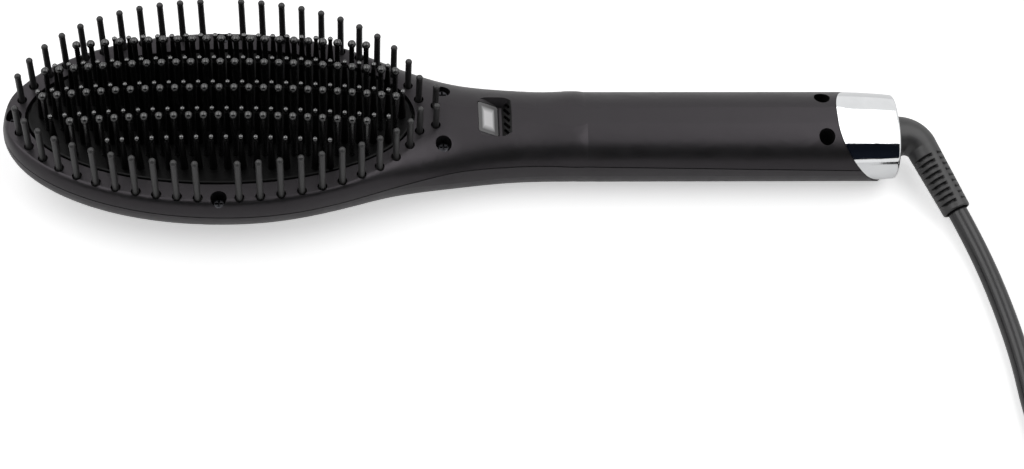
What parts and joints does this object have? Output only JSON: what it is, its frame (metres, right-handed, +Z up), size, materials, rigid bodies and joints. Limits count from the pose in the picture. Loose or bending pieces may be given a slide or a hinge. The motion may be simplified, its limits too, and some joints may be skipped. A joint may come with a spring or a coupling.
{
  "type": "steam hair straightener brush",
  "caption": "Corded steam hair brush: oval head of outer pins, heated teeth and ball-tipped bristles, neck scoop with window and mist outlet, slim handle, chrome collar and swivel cord boot.",
  "frame": {"origin": "on the surface that the brush rests on, below the middle of the length and width of its body, which is measured without its cord and cord boot", "axes": "+X from the head's tip to the cord, +Y to the side away from the viewer, +Z up, away from the resting surface and towards the bristle tips"},
  "size_m": [0.4174, 0.1973, 0.0473],
  "materials": {
    "cover": "soft-touch charcoal, satin",
    "rear_cover": "charcoal plastic, satin",
    "black_steel": "black-oxide steel",
    "pin": "moulded dark grey nylon, satin",
    "coated_aluminium": "black ceramic coating, glossy",
    "cap": "black heat-proof plastic, glossy",
    "bristle": "black heat-proof nylon, glossy",
    "ceramic": "sintered ceramic heater, matt",
    "mica": "mica sheet, satin",
    "steel": "zinc-plated steel",
    "foil_aluminium": "bright aluminium sheet",
    "sensor": "glazed bead in a clear sleeve",
    "fuse": "sleeved thermal cut-off",
    "lead": "silicone-sheathed wire, matt",
    "window": "clear plastic, polished",
    "display": "unlit silver display, satin",
    "outlet": "black heat-proof plastic, satin",
    "clear_plastic": "natural polypropylene, translucent",
    "piezo": "mist element, brass disc",
    "wick": "felt wick, matt",
    "silicone": "black silicone, matt",
    "board": "green circuit board",
    "component": "black and grey electronic parts",
    "switch": "black moulded switch",
    "button": "charcoal plastic, satin",
    "chrome": "mirror chrome plating",
    "socket": "black acetal, satin",
    "stem": "dark acetal, satin",
    "boot": "moulded black rubber, satin",
    "cord": "black cord sheath, semi-gloss",
    "plug": "moulded black plug, satin",
    "plug_pin": "nickel-plated brass, bright"
  },
  "bodies": {
    "housing": {"front_cover": "cover", "back_cover": "rear_cover", "pin_frame": "pin", "heater_plate": "coated_aluminium", "tooth_caps": "cap", "ball_bristle_strips": "bristle", "ceramic_heaters": "ceramic", "insulation_sheet": "mica", "heater_clamp": "steel", "heater_screws": "steel", "heat_shield": "foil_aluminium", "thermistor": "sensor", "thermal_fuse": "fuse", "heater_leads": "lead", "display_window": "window", "display_module": "display", "mist_outlet": "outlet", "mist_chamber": "clear_plastic", "mist_element": "piezo", "water_tank": "clear_plastic", "feed_wick": "wick", "control_board": "board", "board_components": "component", "board_screws": "steel", "tact_switches": "switch", "cover_screws": "black_steel", "chrome_collar": "chrome", "swivel_socket": "socket", "swivel_clip": "steel", "mains_leads": "lead", "cord_tube": "cord", "cord_coil": "cord", "cord_tail": "cord", "plug_body": "plug", "plug_pins": "plug_pin"},
    "swivel": {"swivel_stem": "stem", "cord_boot": "boot", "cord_core": "cord"},
    "minus_key": {"minus_button": "button", "minus_plunger": "switch"},
    "power_key": {"power_button": "button", "power_plunger": "switch"},
    "plus_key": {"plus_button": "button", "plus_plunger": "switch"},
    "tank_stopper": {"tank_plug": "silicone"}
  },
  "joints": [
    {"name": "cord_swivel", "type": "hinge", "parent": "housing", "child": "swivel", "pos_m": [0.1419, 0, 0.0122], "axis": [-1, 0, 0], "continuous": true},
    {"name": "minus_press", "type": "slide", "parent": "housing", "child": "minus_key", "axis": [0, 0, 1], "range_m": [0, 0.0005], "stiffness_N_per_m": 800, "springref_m": -0.0005},
    {"name": "power_press", "type": "slide", "parent": "housing", "child": "power_key", "axis": [0, 0, 1], "range_m": [0, 0.0005], "stiffness_N_per_m": 800, "springref_m": -0.0005},
    {"name": "plus_press", "type": "slide", "parent": "housing", "child": "plus_key", "axis": [0, 0, 1], "range_m": [0, 0.0005], "stiffness_N_per_m": 800, "springref_m": -0.0005},
    {"name": "tank_plug_pull", "type": "slide", "parent": "housing", "child": "tank_stopper", "axis": [0, 0, -1], "range_m": [0, 0.006]}
  ]
}
